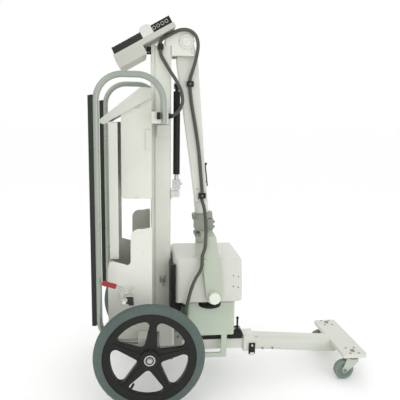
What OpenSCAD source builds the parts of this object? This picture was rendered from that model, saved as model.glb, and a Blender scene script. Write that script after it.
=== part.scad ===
// Mobile X-ray unit, shown parked: +X is forward, +Z is up, the floor is Z = 0.
// Positions along X are counted from the rear axle and shifted by place().

/* [Running gear] */
// Outer radius of the rear tyres, in mm
wheel_r = 200; // [196:1:204]
// Half the distance between the two rear wheel centres, in mm
wheel_y = 300; // [296:1:306]
// Width of a rear tyre, in mm
tyre_w = 36; // [30:1:38]
// Radius of a front caster wheel, in mm
caster_r = 40; // [38:1:40]
// How far a caster wheel trails behind its swivel, in mm
caster_trail = 34; // [30:1:36]
// Half the distance between the two caster swivels, in mm
caster_y = 146; // [130:1:150]

/* [Frame] */
// Radius of the push handle tube, in mm
tube_r = 11; // [9:0.5:12]
// Half the distance between the two push handles, in mm
handle_y = 245; // [235:1:250]
// Height of the push handle's top run, tube centre, in mm
handle_top = 1190; // [1170:1:1195]
// Half the width of the column, in mm
column_hy = 60; // [60:1:62]
// Half the width of the cassette bin, in mm
bin_hy = 200; // [195:1:205]
// Wall of the cassette bin, in mm
bin_wall = 4; // [3:0.5:6]
// Half the width of the generator box, in mm
box_hy = 150; // [130:1:170]

/* [Boom and head] */
// Height of the boom's pivot, in mm
pivot_z = 1328; // [1326:1:1328]
// Half the thickness of the boom, in mm
boom_hy = 30; // [26:1:30]
// Angle that the parked boom leans forward of plumb, in degrees
boom_lean = 6.4; // [6.2:0.1:6.6]
// Half the width of the tube tank, in mm
tank_hy = 122; // [118:1:123]
// Half the width of the collimator, in mm
coll_hy = 72; // [66:1:74]
// Radius of the knurled wheel that sets the collimator's field, in mm
dial_r = 44; // [40:1:46]

/* [Hidden] */
$fn = 64;
x_rear = -204;
x_front = 879;
axle_x = -(x_rear + x_front) / 2;
axle_z = wheel_r;
pivot_x = 144;
gas_x = 110;
gas_y = -46;
gas_low = 754;
gas_high = 1168;
tilt_x = 253;
tilt_z = 362;
hose_r = 7;
coll_x = 253;
dial_x = 246;
dial_y = -66;
fork_hy = 143;
caster_x = 829.5;
grey = [0.83, 0.83, 0.80];
white = [0.90, 0.90, 0.87];
green = [0.72, 0.76, 0.69];
black = [0.10, 0.10, 0.10];
steel = [0.66, 0.67, 0.66];

// Moves everything from axle coordinates to the middle of the whole object.
module place() {
    translate([axle_x, 0, 0])
    children();
}

// A plate drawn in the side view (X, Z) and given a thickness from y1 to y2.
module side_plate(y1, y2) {
    translate([0, y2, 0])
    rotate([90, 0, 0])
    linear_extrude(height = y2 - y1)
    children();
}

// A straight round bar along Y.
module bar_y(x, z, r, y1, y2) {
    translate([x, y2, z])
    rotate([90, 0, 0])
    cylinder(r = r, h = y2 - y1);
}

// Both sides of the machine: the child is drawn for the right side (-Y).
module both() {
    children();
    mirror([0, 1, 0])
    children();
}

// Corner points of a rectangle with rounded corners.
function soft_rect(x1, y1, x2, y2, r) = concat(
    [for (a = [180 : 15 : 270]) [x1 + r + r * cos(a), y1 + r + r * sin(a)]],
    [for (a = [270 : 15 : 360]) [x2 - r + r * cos(a), y1 + r + r * sin(a)]],
    [for (a = [0 : 15 : 90]) [x2 - r + r * cos(a), y2 - r + r * sin(a)]],
    [for (a = [90 : 15 : 180]) [x1 + r + r * cos(a), y2 - r + r * sin(a)]]);

// Points of an arc around (cx, cy).
function arc(cx, cy, r, a1, a2, n) =
    [for (i = [0 : n]) [cx + r * cos(a1 + (a2 - a1) * i / n),
        cy + r * sin(a1 + (a2 - a1) * i / n)]];

// A smooth curve through hand-set points, four steps to each span.
function spline_at(a, b, c, d, t) =
    0.5 * ((2 * b) + (c - a) * t + (2 * a - 5 * b + 4 * c - d) * t * t
    + (3 * b - a - 3 * c + d) * t * t * t);
function spline(p) = concat(
    [for (i = [0 : len(p) - 2], j = [0 : 3])
        spline_at(p[max(i - 1, 0)], p[i], p[i + 1], p[min(i + 2, len(p) - 1)], j / 4)],
    [p[len(p) - 1]]);
function unit(v) = v / norm(v);
function tangent(p, i) = unit(p[min(i + 1, len(p) - 1)] - p[max(i - 1, 0)]);
function across(t) = unit(cross(t, [0.16, -0.97, 0.18]));

// A round hose swept along a list of points, ten sides.
module hose(points, r) {
    p = spline(points);
    n = 10;
    m = len(p);
    skin = [for (i = [0 : m - 1], k = [0 : n - 1])
        let (t = tangent(p, i), u = across(t), v = cross(t, u))
        p[i] + r * (cos(360 * k / n) * u + sin(360 * k / n) * v)];
    sides = [for (i = [0 : m - 2], k = [0 : n - 1])
        [i * n + k, (i + 1) * n + k, (i + 1) * n + (k + 1) % n, i * n + (k + 1) % n]];
    first = [[for (k = [0 : n - 1]) k]];
    last = [[for (k = [n - 1 : -1 : 0]) (m - 1) * n + k]];
    polyhedron(points = skin, faces = concat(first, sides, last), convexity = 8);
}

// Base tray that carries the wheels, the column and the bin.
module chassis() {
    color(grey)
    place()
    difference() {
        translate([0, 0, 188])
        linear_extrude(height = 112)
        polygon(soft_rect(-149, -185, 95, 185, 10));
        translate([-143, -179, 194])
        cube([232, 358, 100]);
        for (x = [-110, 60])
            translate([x, 0, 180])
            cylinder(r = 8, h = 20);
    }
}

// Open-topped bin for cassettes, its two side panels stepped down to the rear.
module bin_outline() {
    polygon(concat([[12, 300], [12, 654]], arc(-34, 616, 32, 75, 175, 8),
        arc(-80, 527, 14, -10, -80, 4), arc(-133, 519, 10, 80, 150, 4),
        [[-149, 500], [-149, 300]]));
}
module cassette_bin() {
    color(white)
    place()
    difference() {
        side_plate(-bin_hy, bin_hy)
        bin_outline();
        translate([-149 + bin_wall, -bin_hy + bin_wall, 300 + bin_wall])
        cube([161 - 2 * bin_wall, 2 * (bin_hy - bin_wall), 400]);
        translate([8, -box_hy, 520])
        cube([10, 2 * box_hy, 200]);
        for (x = [-110, -30], y = [-120, 120])
            translate([x, y, 290])
            cylinder(r = 5, h = 30);
    }
}

// The upright column, a closed section with a step along its rear edge.
module column() {
    color(grey)
    place()
    difference() {
        translate([0, 0, 300])
        linear_extrude(height = 1012)
        polygon([[13, -column_hy + 6], [26, -column_hy + 6], [28, -column_hy],
            [82, -column_hy], [88, -column_hy + 6], [88, column_hy - 6],
            [82, column_hy], [28, column_hy], [26, column_hy - 6],
            [13, column_hy - 6]]);
        translate([22, -45, 296])
        cube([56, 90, 1008]);
        translate([60, -70, 390])
        rotate([0, 90, 90])
        cylinder(r = 4, h = 20);
    }
}

// Pieces screwed to the column: service cover, its tab and a key lock.
module column_fittings() {
    color(white)
    place()
    union() {
        translate([33, -column_hy - 14, 975])
        cube([50, 14, 45]);
        translate([-10, -box_hy - 6, 932])
        cube([22, 6, 72]);
        difference() {
            translate([44, -column_hy - 5, 398])
            rotate([-90, 0, 0])
            linear_extrude(height = 5)
            polygon(soft_rect(0, -34, 24, 0, 5));
            bar_y(56, 423, 4, -column_hy - 6, -column_hy - 2);
        }
        difference() {
            bar_y(60, 390, 3.95, -column_hy - 8, -column_hy + 8);
            translate([59.3, -column_hy - 9, 387])
            cube([1.4, 3, 6]);
        }
        translate([88, gas_y - 14, 735])
        cube([4, 28, 40]);
        difference() {
            union() {
                translate([92, gas_y - 12, 742])
                cube([30, 5, 24]);
                translate([92, gas_y + 7, 742])
                cube([30, 5, 24]);
            }
            bar_y(gas_x, gas_low, 5, gas_y - 20, gas_y + 20);
        }
        bar_y(gas_x, gas_low, 5, gas_y - 14, gas_y + 14);
    }
}

// Pivot housing on top of the column: two cheeks, a back and a rear cover.
module cheek_outline() {
    polygon(concat([[88, 1277], [88, 1312], [66, 1312], [66, 1340], [78, 1349]],
        arc(118, 1330, 40, 120, 95, 4), arc(144, 1342, 28, 80, 0, 8),
        [[172, 1277]]));
}
module hub_head() {
    color(white)
    place()
    difference() {
        side_plate(-column_hy, column_hy)
        cheek_outline();
        translate([94, -boom_hy - 3, 1270])
        cube([90, 2 * boom_hy + 6, 92]);
        translate([124, -boom_hy - 3, 1270])
        cube([90, 2 * boom_hy + 6, 120]);
        bar_y(pivot_x, pivot_z, 12, -column_hy - 5, column_hy + 5);
        for (z = [1290, 1300])
            for (s = [-1, 1])
                bar_y(164, z, 3, s * column_hy - 2, s * column_hy + 2);
    }
}

// Fixed pin that the boom turns on, with a round cover at each end.
module boom_pin() {
    color(steel)
    place()
    union() {
        bar_y(pivot_x, pivot_z, 12, -column_hy - 1, column_hy + 1);
        both()
        difference() {
            bar_y(pivot_x, pivot_z, 26, -column_hy - 7, -column_hy);
            bar_y(pivot_x, pivot_z, 18, -column_hy - 8, -column_hy - 5);
        }
    }
}

// High-voltage generator box behind the column.
module generator_box() {
    color(grey)
    place()
    difference() {
        side_plate(-box_hy, box_hy)
        polygon(concat([[-98, 1066], [-98, 762]], arc(-88, 762, 10, 180, 270, 4),
            [[12, 752], [12, 1143]]));
        for (s = [-1, 1])
            translate([-44, s * box_hy, 1086])
            rotate([90, 0, 0])
            translate([0, 0, -3])
            linear_extrude(height = 6)
            polygon(concat(arc(-5, 0, 6, 90, 270, 8), arc(11, 0, 6, -90, 90, 8)));
        for (z = [790 : 14 : 930])
            translate([-99, -70, z])
            cube([4, 140, 5]);
        bar_y(-44, 754, 4, -box_hy - 1, -box_hy + 4);
    }
}

// Sloped desk lid over the generator box.
module sloped_lid() {
    color(white)
    place()
    difference() {
        side_plate(-box_hy - 14, box_hy + 14)
        polygon(concat(arc(-168, 1031, 8, 215, 130, 5), arc(-25, 1145, 8, 130, 90, 3),
            [[-6, 1153], [12, 1149], [12, 1118], [-89, 1061], [-160, 1022]]));
        side_plate(-box_hy - 0.3, box_hy + 0.3)
        polygon([[-98.3, 1000], [-98.3, 1066.2], [12.1, 1143.4], [12.1, 1000]]);
        translate([-120, -70, 1070.4])
        rotate([0, -38.6, 0])
        translate([0, 0, 4])
        cube([90, 140, 12]);
    }
}

// Upright rear cover between the bin and the lid, a channel open to the front.
module rear_panel() {
    color(white)
    place()
    difference() {
        translate([-142, -160, 527])
        cube([32, 320, 502]);
        translate([-138, -156, 520])
        cube([40, 312, 520]);
        translate([-149, -170, 1029])
        rotate([0, -36, 0])
        cube([90, 340, 60]);
        for (y = [-130, 130], z = [560, 1000])
            translate([-146, y, z])
            rotate([0, 90, 0])
            cylinder(r = 3, h = 12);
    }
}

// One push handle: a bent tube from its front bracket over the top and down.
module handle_bend(x, z, r, a1) {
    translate([x, -handle_y, z])
    rotate([90, 0, 0])
    rotate([0, 0, a1])
    rotate_extrude(angle = 90)
    translate([r, 0])
    circle(r = tube_r, $fn = 40);
}
module handle_tube() {
    translate([50, -handle_y, 1029])
    cylinder(r = tube_r, h = handle_top - 1119);
    handle_bend(-40, handle_top - 90, 90, 0);
    translate([-88, -handle_y, handle_top])
    rotate([0, 90, 0])
    cylinder(r = tube_r, h = 48);
    handle_bend(-88, handle_top - 90, 90, 90);
    translate([-178, -handle_y, 328])
    cylinder(r = tube_r, h = handle_top - 418);
    handle_bend(-88, 328, 90, 180);
    translate([-88, -handle_y, 238])
    rotate([0, 90, 0])
    cylinder(r = tube_r, h = 76);
}
module right_handle() {
    color(green)
    place()
    handle_tube();
}
module left_handle() {
    color(green)
    place()
    mirror([0, 1, 0])
    handle_tube();
}

// Black runners down the rear of both handles.
module skid_strips() {
    color(black)
    place()
    both()
    difference() {
        translate([x_rear, -handle_y - 8, 306])
        linear_extrude(height = 812)
        polygon(soft_rect(0, 0, 17, 16, 4));
        translate([-178, -handle_y, 300])
        cylinder(r = tube_r + 0.1, h = 840);
    }
}

// Brackets that tie the handles to the column at the top and the tray below.
module handle_brackets() {
    color(grey)
    place()
    both()
    union() {
        difference() {
            union() {
                translate([20, -handle_y + 14, 1027])
                cube([48, handle_y - 14 - column_hy, 40]);
                translate([10, -handle_y - 7, 1027])
                cube([34, 26, 40]);
            }
            translate([50, -handle_y, 1000])
            cylinder(r = tube_r, h = 100);
            bar_y(33, 1053, 4.05, -handle_y - 20, -handle_y + 4);
        }
        difference() {
            translate([-40, -handle_y - 15, 222])
            cube([34, handle_y + 15 - 191, 32]);
            translate([-60, -handle_y, 238])
            rotate([0, 90, 0])
            cylinder(r = tube_r, h = 60);
        }
    }
}

// Clamp knobs of the handle brackets, the hose gland and the column's hose clip.
module handle_knobs() {
    color(black)
    place()
    union() {
        both()
        union() {
            bar_y(33, 1053, 4, -handle_y - 8, -handle_y + 3);
            translate([27, -handle_y - 23, 1041])
            cube([13, 16, 24]);
        }
        translate([68, -84, 1054])
        rotate([0, 90, 0])
        cylinder(r = 11, h = 12);
        translate([36, -78, 1296])
        cube([22, 18, 20]);
    }
}

// Fixed axle stubs with their mounting flanges.
module axle_stubs() {
    color(steel)
    place()
    both()
    union() {
        bar_y(0, axle_z, 16, -266, -191);
        bar_y(0, axle_z, 10, -wheel_y - 18, -191);
        translate([-40, -191, 189])
        cube([80, 6, 60]);
    }
}

// Block that holds the rear end of the leg under the tray.
module leg_root() {
    color([0.60, 0.61, 0.58])
    place()
    difference() {
        union() {
            translate([40, -46, 62])
            cube([60, 92, 30]);
            translate([50, -46, 91])
            cube([88, 92, 60]);
            translate([50, -60, 151])
            cube([45, 120, 37]);
            translate([95, -46, 151])
            cube([42, 92, 30]);
        }
        translate([60, -30, 91])
        cube([100, 60, 47]);
        for (x = [70, 120])
            bar_y(x, 160, 5, -61, -40);
    }
}

// Inner square beam of the front leg.
module inner_beam() {
    color(grey)
    place()
    difference() {
        translate([60, 0, 114.5])
        rotate([90, 0, 90])
        linear_extrude(height = 395)
        polygon(soft_rect(-30, -23.5, 30, 23.5, 5));
        translate([70, -26, 95])
        cube([400, 52, 39]);
    }
}

// Clamping collar where the beam enters the sleeve, with its bolts and latch.
module leg_collar() {
    color(grey)
    place()
    union() {
        difference() {
            translate([398, 0, 114.5])
            rotate([90, 0, 90])
            linear_extrude(height = 45)
            polygon(soft_rect(-42, -35.5, 42, 35.5, 12));
            translate([390, -30, 91])
            cube([60, 60, 47]);
        }
        difference() {
            translate([418, -49, 72])
            cube([28, 7.5, 50]);
            bar_y(432, 112, 4, -50, -40);
        }
        bar_y(432, 112, 3.95, -56, -40);
        translate([424, -52, 66])
        cube([18, 16, 14]);
        for (x = [480, 523])
            bar_y(x, 92, 5, -41, -36.5);
    }
}

// Rounded front sleeve of the leg, sloping down to the crossbar.
module leg_sleeve() {
    color(white)
    place()
    difference() {
        translate([443, 0, 113])
        rotate([0, 94.2, 0])
        linear_extrude(height = 372)
        polygon(soft_rect(-31, -37, 31, 37, 22));
        translate([780, -60, 99])
        cube([80, 120, 60]);
        translate([806, -60, 40])
        cube([40, 120, 80]);
        translate([440, -30, 89])
        cube([18, 60, 50]);
        translate([430, -60, 60])
        cube([13, 120, 100]);
        for (x = [480, 523])
            bar_y(x, 92, 5, -50, -32);
    }
}

// Flat channel across the front that carries both casters.
module crossbar() {
    color(white)
    place()
    difference() {
        translate([780, -177, 99])
        linear_extrude(height = 17)
        polygon(soft_rect(0, 0, x_front - 780, 354, 8));
        translate([784, -173, 90])
        cube([x_front - 788, 133, 20]);
        translate([784, 40, 90])
        cube([x_front - 788, 133, 20]);
        translate([806, -36, 90])
        cube([x_front - 810, 72, 20]);
        for (s = [-1, 1])
            translate([caster_x, s * caster_y, 90])
            cylinder(r = 8.05, h = 40);
    }
}

// Black cradle that the parked head backs into.
module parking_cradle() {
    color(black)
    place()
    union() {
        translate([88.1, -74, 304])
        cube([51.9, 148, 16]);
        both()
        union() {
            translate([84, -134, 304])
            cube([4.4, 75.8, 188]);
            translate([84, -134, 302])
            cube([20, 6, 190]);
        }
    }
}

// Rubber rest on the leg under the parked collimator.
module leg_pad() {
    color(black)
    place()
    union() {
        translate([228, -34, 138])
        cube([108, 68, 14]);
        translate([336, 0, 138])
        linear_extrude(height = 25)
        polygon(soft_rect(0, -37, 57, 37, 6));
    }
}

// Brackets of the wheel brakes on the bin's sides.
module brake_brackets() {
    color(steel)
    place()
    both()
    union() {
        difference() {
            translate([-104, -246, 396])
            cube([30, 46, 26]);
            bar_y(-88, 410, 5.5, -250, -225);
        }
        translate([-112, -204, 386])
        cube([48, 4, 50]);
        bar_y(-88, 410, 5.5, -308, -224);
    }
}

// Hinge bracket of the console on the column's top, and the gas spring's clevis.
module console_bracket() {
    color(black)
    place()
    union() {
        difference() {
            union() {
                translate([-4, -44, 1291])
                cube([17, 10, 18]);
                translate([-4, 34, 1291])
                cube([17, 10, 18]);
            }
            bar_y(2, 1303, 5, -60, 60);
        }
        bar_y(2, 1303, 5, -46, 46);
    }
}

// Fixed length of the ribbed conduit, from its gland up to the column's clip.
module conduit_column() {
    color([0.37, 0.39, 0.35])
    place()
    hose([[80, -84, 1054], [88, -84, 1054], [104, -88, 1063], [120, -92, 1082],
        [128, -94, 1110], [122, -94, 1146], [104, -90, 1184], [82, -82, 1218],
        [62, -74, 1252], [50, -70, 1274], [47, -69, 1287], [47, -69, 1295.7]], hose_r);
}

// Rear wheels: tyre, five-spoke rim and hub cap, drawn for the right side.
module tyre() {
    translate([0, -wheel_y, axle_z])
    rotate([90, 0, 0])
    rotate_extrude($fn = 96)
    difference() {
        union() {
            translate([wheel_r - 18, 0])
            circle(r = 18, $fn = 40);
            translate([168, -tyre_w / 2 + 2])
            square([18, tyre_w - 4]);
        }
        translate([140, -30])
        square([28, 60]);
        for (s = [-1, 1])
            translate([wheel_r - 1, s * 6])
            circle(r = 1.6, $fn = 16);
    }
}
function window() = concat(arc(60, 0, 14, 130, 230, 10), arc(113, -45, 17, 230, 338, 10),
    arc(0, 0, 139, -20, 20, 10), arc(113, 45, 17, 22, 130, 10));
module rim() {
    translate([0, -wheel_y, axle_z])
    rotate([90, 0, 0])
    difference() {
        union() {
            translate([0, 0, -10])
            linear_extrude(height = 20)
            difference() {
                circle(r = 160, $fn = 96);
                for (k = [0 : 4])
                    rotate(83.7 + 36 + 72 * k)
                    polygon(window());
            }
            rotate_extrude($fn = 96)
            polygon([[141, -12], [150, -15], [168, -15], [168, 15], [150, 15],
                [141, 12]]);
            translate([0, 0, -22])
            cylinder(r = 34, h = 42);
            for (k = [0 : 4])
                rotate(83.7 + 72 * k)
                translate([30, -5, -14])
                cube([112, 10, 28]);
            rotate(240)
            translate([112, 0, 0])
            rotate([0, 90, 0])
            cylinder(r = 3.5, h = 32);
        }
        translate([0, 0, -40])
        cylinder(r = 10.05, h = 90);
    }
}
module hub_cap() {
    translate([0, -wheel_y - 20, axle_z])
    rotate([90, 0, 0])
    difference() {
        union() {
            cylinder(r = 20, h = 6);
            cylinder(r = 9, h = 11, $fn = 6);
        }
        translate([0, 0, 3.5])
        difference() {
            cylinder(r = 15, h = 4);
            cylinder(r = 10.5, h = 4);
        }
    }
}
module right_tyre() {
    color([0.36, 0.41, 0.39])
    place()
    tyre();
}
module right_rim() {
    color(black)
    place()
    rim();
}
module right_hub_cap() {
    color(steel)
    place()
    hub_cap();
}
module left_tyre() {
    color([0.36, 0.41, 0.39])
    place()
    mirror([0, 1, 0])
    tyre();
}
module left_rim() {
    color(black)
    place()
    mirror([0, 1, 0])
    rim();
}
module left_hub_cap() {
    color(steel)
    place()
    mirror([0, 1, 0])
    hub_cap();
}

// Front casters: a forked swivel and a wheel, drawn at side s (-1 is right).
module caster_fork(s) {
    x = caster_x - caster_trail;
    translate([0, s * caster_y, 0])
    union() {
        translate([caster_x, 0, 90])
        cylinder(r = 21, h = 8.6);
        translate([caster_x, 0, 90])
        cylinder(r = 8, h = 24);
        translate([caster_x - 27, -17.5, 84])
        cube([48, 35, 6.5]);
        for (y = [-14.5, 17.5])
            translate([0, y, 0])
            rotate([90, 0, 0])
            linear_extrude(height = 3)
            polygon(concat([[caster_x + 21, 90], [caster_x - 27, 90]],
                arc(x, caster_r, 11, 160, 300, 8), [[caster_x + 21, 76]]));
        bar_y(x, caster_r, 5, -19, 19);
    }
}
module caster_wheel(s) {
    translate([caster_x - caster_trail, s * caster_y, caster_r])
    rotate([90, 0, 0])
    difference() {
        rotate_extrude()
        polygon(concat([[4, -13.5], [12, -13.5], [14, -9], [26, -9], [28, -12]],
            arc(caster_r - 6, -6, 6, -90, 0, 5), arc(caster_r - 6, 6, 6, 0, 90, 5),
            [[28, 12], [26, 9], [14, 9], [12, 13.5], [4, 13.5]]));
        translate([0, 0, -20])
        cylinder(r = 5.05, h = 40);
    }
}
module right_caster_fork() {
    color(green)
    place()
    caster_fork(-1);
}
module right_caster_wheel() {
    color([0.44, 0.50, 0.47])
    place()
    caster_wheel(-1);
}
module left_caster_fork() {
    color(green)
    place()
    caster_fork(1);
}
module left_caster_wheel() {
    color([0.44, 0.50, 0.47])
    place()
    caster_wheel(1);
}

// Tilted console: its own axes run along the desk (u) and out of it (n).
module on_desk() {
    translate([-132, 0, 1295])
    rotate([0, -29.5, 0])
    children();
}
module console_body() {
    color(grey)
    place()
    union() {
        on_desk()
        union() {
            translate([-8, 100, 0])
            rotate([90, 0, 0])
            linear_extrude(height = 200)
            polygon(soft_rect(0, -46, 251, -27, 3));
            translate([-8, 99.5, 0])
            rotate([90, 0, 0])
            linear_extrude(height = 199)
            polygon(soft_rect(0.5, -79, 112, -40, 4));
        }
        both()
        difference() {
            side_plate(-33, -15)
            polygon([[-9, 1295], [9, 1295], [9, 1325], [-9, 1315]]);
            bar_y(2, 1303, 5.05, -60, 60);
        }
    }
}
// Ribbed rubber pad on the rear half of the console.
module console_strip() {
    color(black)
    place()
    on_desk()
    difference() {
        translate([0, -98, -27])
        cube([116, 196, 25]);
        for (u = [8 : 9 : 108])
            translate([u, -100, -3.5])
            cube([4.5, 200, 4]);
    }
}
// Display and key block on the front half of the console.
module console_display() {
    color([0.16, 0.16, 0.15])
    place()
    on_desk()
    difference() {
        translate([162, -98, -27])
        cube([76, 196, 27]);
        translate([172, -84, -2])
        cube([56, 78, 3]);
        for (y = [18, 58])
            translate([176, y, -12])
            cube([24.6, 24.6, 14]);
        for (u = [208 : 8 : 226], y = [16 : 12 : 80])
            translate([u, y, -1])
            cube([4, 8, 2]);
    }
}
// White saddle clipped over the middle of the console.
module console_saddle() {
    color(white)
    place()
    on_desk()
    difference() {
        translate([117, 101, 0])
        rotate([90, 0, 0])
        linear_extrude(height = 202)
        polygon(concat([[0, -27], [44.5, -27], [44.5, 2]], arc(30, -1, 13, 20, 90, 5),
            arc(13, -1, 13, 90, 170, 5)));
        translate([128, -88, -28])
        cube([22, 176, 34]);
    }
}
module key(y) {
    on_desk()
    translate([176.3, y + 0.3, -6.5])
    linear_extrude(height = 9)
    polygon(soft_rect(0, 0, 24, 24, 4));
}
module key_start() {
    color([0.25, 0.55, 0.35])
    place()
    key(18);
}
module key_stop() {
    color([0.75, 0.70, 0.55])
    place()
    key(58);
}

// Tapered boom, drawn straight down from its pivot and then leaned forward.
module lean() {
    translate([pivot_x, 0, pivot_z])
    rotate([0, -boom_lean, 0])
    children();
}
module boom() {
    color(grey)
    place()
    union() {
        lean()
        difference() {
            union() {
                side_plate(-boom_hy, boom_hy)
                polygon(concat(arc(0, 0, 28, 160, 20, 10), [[39.5, -58], [40, -70],
                    [31, -330], [27, -470], [24, -610], [-24, -610], [-27, -470],
                    [-31, -330], [-40, -70], [-39.5, -58]]));
                translate([0, 0, -661])
                cylinder(r = 28, h = 60);
            }
            bar_y(0, 0, 12.05, -40, 40);
            translate([0, 0, -670])
            cylinder(r = 14.05, h = 50);
            for (z = [-600, -560])
                bar_y(-12, z, 3, -boom_hy - 1, -boom_hy + 3);
        }
        difference() {
            translate([gas_x - 11, -boom_hy - 3, gas_high - 12])
            cube([38, 4, 24]);
            translate([gas_x - 20, -boom_hy - 4, gas_high + 6])
            rotate([0, -30, 0])
            cube([28, 6, 20]);
        }
    }
}
// Hose clips along the boom and the small black hook on its front edge.
module boom_clips() {
    color(black)
    place()
    union() {
        translate([148, -boom_hy - 18, 1166])
        cube([26, 18, 20]);
        translate([199, -boom_hy - 18, 735])
        cube([28, 18, 20]);
        lean()
        union() {
            translate([26.8, -8, -480])
            cube([7, 5, 5]);
            translate([25.6, -8, -540])
            cube([7, 5, 5]);
            translate([32, -5.5, -556])
            cylinder(r = 2.5, h = 86);
            translate([29, -10, -470])
            cube([10, 9, 8]);
        }
    }
}

// Gas spring: the rod end turns on the column, the cylinder slides on the rod.
module gas_rod() {
    color(steel)
    place()
    difference() {
        union() {
            bar_y(gas_x, gas_low, 11, gas_y - 6, gas_y + 6);
            translate([gas_x - 7, gas_y - 6, gas_low])
            cube([14, 12, 22]);
            translate([gas_x - 15, gas_y - 10, 772])
            cube([30, 20, 39]);
            bar_y(gas_x + 17, 794, 6, gas_y - 5, gas_y + 5);
            translate([gas_x, gas_y, 806])
            cylinder(r = 8, h = 22);
            translate([gas_x, gas_y, 806])
            cylinder(r = 5, h = 212);
        }
        bar_y(gas_x, gas_low, 5.05, gas_y - 20, gas_y + 20);
        bar_y(gas_x - 5, 800, 3, gas_y - 11, gas_y - 6);
    }
}
module gas_cylinder() {
    color(black)
    place()
    difference() {
        union() {
            translate([gas_x, gas_y, 831])
            cylinder(r = 13, h = 316);
            translate([gas_x, gas_y, 1147])
            cylinder(r = 7, h = 12);
            bar_y(gas_x, gas_high, 10, gas_y - 6, gas_y + 6);
            bar_y(gas_x, gas_high, 5, gas_y - 9, gas_y + 11);
        }
        translate([gas_x, gas_y, 820])
        cylinder(r = 5.05, h = 250);
    }
}

// Cast clamp that turns in the boom's end and carries the fork.
module swivel_clamp() {
    color([0.60, 0.61, 0.57])
    place()
    difference() {
        union() {
            lean()
            union() {
                translate([0, 0, -684])
                cylinder(r = 42, h = 22);
                translate([0, 0, -664])
                cylinder(r = 14, h = 36);
            }
            translate([188, -38, 602])
            cube([74, 76, 47]);
            translate([187, -36, 578])
            cube([34, 72, 12]);
            for (z = [616, 636])
                translate([262, -22, z])
                rotate([0, 90, 0])
                cylinder(r = 6, h = 4);
        }
        translate([236, -50, 596])
        cube([40, 24, 60]);
    }
}
// Fork: a bent plate, one arm down each side of the tank.
module arm_outline() {
    polygon(concat([[207, 602], [257, 602], [262, 570], [271, 513], [280, 430]],
        arc(tilt_x + 1, tilt_z, 31, 10, -180, 16), [[209, 483], [207, 560]]));
}
module fork_arms() {
    color(green)
    place()
    union() {
        both()
        difference() {
            side_plate(-fork_hy, -fork_hy + 12)
            arm_outline();
            bar_y(tilt_x, tilt_z, 14.05, -fork_hy - 5, -fork_hy + 20);
        }
        difference() {
            translate([207, -fork_hy, 590])
            cube([50, 2 * fork_hy, 12]);
            translate([245, -20, 580])
            cylinder(r = 5, h = 30);
        }
        translate([200, -fork_hy - 9, 500])
        cube([20, 9, 14]);
    }
}

// White tank that holds the X-ray tube, with the fixed collar of the collimator.
module tank() {
    color(white)
    place()
    difference() {
        union() {
            intersection() {
                side_plate(-tank_hy, tank_hy)
                polygon(concat(arc(111, 497, 16, 180, 90, 6), arc(352, 501, 12, 90, 2, 6),
                    arc(362, 344, 10, 0, -90, 4), arc(105, 344, 10, 270, 180, 4)));
                translate([0, 0, 300])
                linear_extrude(height = 300)
                polygon(soft_rect(95, -tank_hy, 372, tank_hy, 26));
            }
            translate([coll_x, 0, 312.3])
            cylinder(r = 60, h = 24);
            translate([143, -96, 322])
            cylinder(r = 11, h = 14);
        }
        both()
        bar_y(tilt_x, tilt_z, 12, -tank_hy - 1, -tank_hy + 20);
        for (x = [332, 352], z = [394, 438])
            bar_y(x, z - x / 4 + 85, 3, -tank_hy - 1, -tank_hy + 2);
    }
}
// Tilt pins of the head with their clamping knobs outside the fork.
module pivot_knobs() {
    color(green)
    place()
    both()
    union() {
        bar_y(tilt_x, tilt_z, 12, -fork_hy - 1, -tank_hy + 20);
        bar_y(tilt_x, tilt_z, 14, -fork_hy - 1, -tank_hy);
        difference() {
            bar_y(tilt_x, tilt_z, 23, -fork_hy - 24, -fork_hy - 1);
            for (k = [0 : 9])
                translate([tilt_x + 24.5 * cos(36 * k), 0, tilt_z + 24.5 * sin(36 * k)])
                bar_y(0, 0, 4, -fork_hy - 30, -fork_hy - 6);
        }
    }
}

// Collimator with its guard bars, exit window and latch boss.
module collimator() {
    color(green)
    place()
    union() {
        difference() {
            union() {
                translate([155, -coll_hy, 173])
                linear_extrude(height = 139)
                polygon(soft_rect(0, 0, 196, 2 * coll_hy, 12));
                both()
                difference() {
                    side_plate(-coll_hy, -coll_hy + 10)
                    polygon(soft_rect(184, 76, 320, 192, 8));
                    side_plate(-coll_hy - 1, -coll_hy + 11)
                    polygon(soft_rect(208, 95, 297, 200, 8));
                }
                translate([348, -66, 174])
                cube([30, 26, 16]);
            }
            translate([coll_x - 50, -50, 170])
            cube([100, 100, 12]);
            translate([dial_x, dial_y, 300])
            cylinder(r = dial_r + 1.5, h = 20);
            bar_y(366, 182, 4.05, -70, -36);
            translate([356, -59, 160])
            cube([30, 12, 40]);
            translate([352, 0, 240])
            rotate([0, 90, 0])
            cylinder(r = 10, h = 6, center = true);
        }
        translate([dial_x, dial_y, 299])
        cylinder(r = 5, h = 12.5);
    }
}

// Knurled wheel let into the collimator's top; it sets the size of the field.
module field_wheel() {
    color(black)
    place()
    difference() {
        translate([dial_x, dial_y, 300.5])
        cylinder(r = dial_r, h = 11);
        translate([dial_x, dial_y, 299])
        cylinder(r = 5.05, h = 20);
        for (k = [0 : 23])
            translate([dial_x + (dial_r + 2) * cos(15 * k), dial_y + (dial_r + 2) * sin(15 * k), 299])
            cylinder(r = 4, h = 14, $fn = 12);
    }
}
// Parking latch lever on the collimator's front.
module latch_lever() {
    color(black)
    place()
    difference() {
        union() {
            bar_y(366, 182, 7, -58.5, -47.5);
            translate([362.5, -56, 182])
            cube([7, 6, 54]);
            translate([366, -53, 236])
            sphere(r = 6);
        }
        bar_y(366, 182, 4.05, -70, -36);
    }
    color(steel)
    place()
    bar_y(366, 182, 4, -65, -41);
}

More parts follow.
